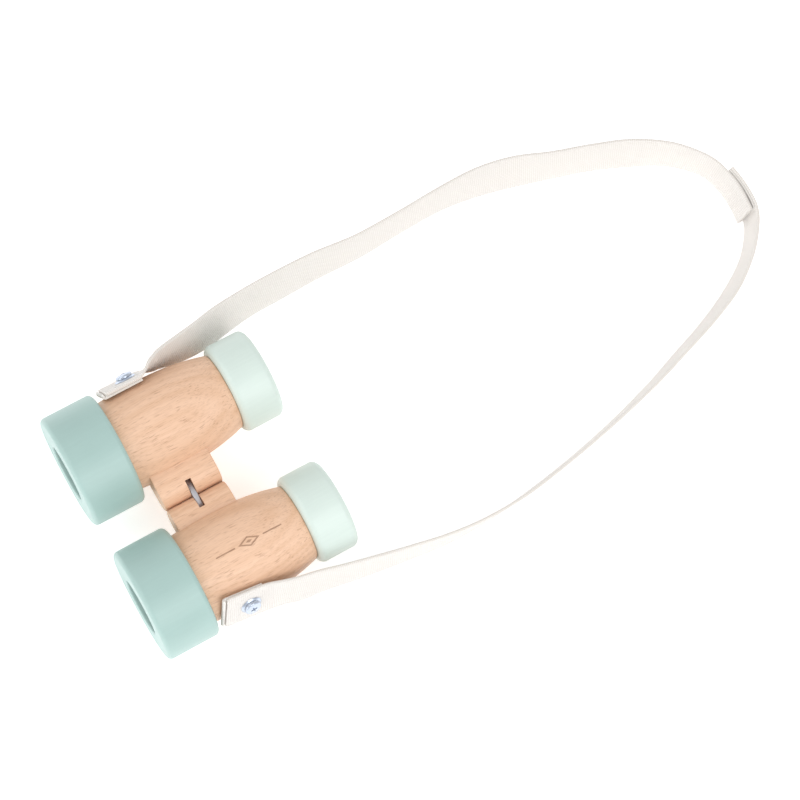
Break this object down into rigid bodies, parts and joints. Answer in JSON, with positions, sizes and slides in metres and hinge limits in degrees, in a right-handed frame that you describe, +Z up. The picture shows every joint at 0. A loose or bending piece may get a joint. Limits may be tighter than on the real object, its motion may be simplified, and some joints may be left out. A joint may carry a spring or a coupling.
{
  "type": "toy binoculars",
  "caption": "Wooden toy binoculars with painted rings, a double-pinned centre hinge, lenses and a webbing neck strap with a breakaway closure.",
  "frame": {"origin": "centre of the underside of the binoculars as they lie on a table, midway between the barrels; the strap is left out of that box", "axes": "+Z up, +Y towards the eyepieces, +X across the two barrels to the right; the barrels dip 4.18 degrees towards the eyepieces, as they do when they lie on their unequal rings"},
  "size_m": [0.1383, 0.3178, 0.0513],
  "materials": {
    "beech": "fine sanded, thin clear lacquer, short dark flecks along the grain",
    "mint_paint": "wood under satin grey-green paint",
    "pale_mint_paint": "wood under satin pale green-white paint",
    "clear_lens": "clear polished acrylic",
    "dowel_wood": "plain birch dowel",
    "link_steel": "tumbled grey steel",
    "zinc": "bright bluish zinc plate",
    "cotton_webbing": "off-white woven cotton, ribbed edges",
    "closure_tape": "off-white hook and loop tape"
  },
  "bodies": {
    "hinge": {"hinge_link": "link_steel", "left_hinge_pin": "link_steel", "right_hinge_pin": "link_steel", "left_strap": "cotton_webbing", "right_strap": "cotton_webbing", "hook_patch": "closure_tape", "loop_patch": "closure_tape"},
    "left_half": {"left_barrel": "beech", "left_objective_ring": "mint_paint", "left_eyepiece_ring": "pale_mint_paint", "left_objective_lens": "clear_lens", "left_eye_lens": "clear_lens", "left_hinge_block": "beech", "left_block_dowels": "dowel_wood", "left_strap_tab": "cotton_webbing", "left_tab_washer": "zinc", "left_tab_screw": "zinc"},
    "right_half": {"right_barrel": "beech", "right_objective_ring": "mint_paint", "right_eyepiece_ring": "pale_mint_paint", "right_objective_lens": "clear_lens", "right_eye_lens": "clear_lens", "right_hinge_block": "beech", "right_block_dowels": "dowel_wood", "right_strap_tab": "cotton_webbing", "right_tab_washer": "zinc", "right_tab_screw": "zinc"}
  },
  "joints": [
    {"name": "left_barrel_swing", "type": "hinge", "parent": "hinge", "child": "left_half", "pos_m": [-0.0059, -0.00428, 0.02348], "axis": [0, 0.9973, -0.0729], "range_deg": [-40, 40], "deforming": ["left_strap"]},
    {"name": "right_barrel_swing", "type": "hinge", "parent": "hinge", "child": "right_half", "pos_m": [0.0093, -0.00428, 0.02348], "axis": [0, -0.9973, 0.0729], "range_deg": [-40, 40], "deforming": ["right_strap"]}
  ]
}
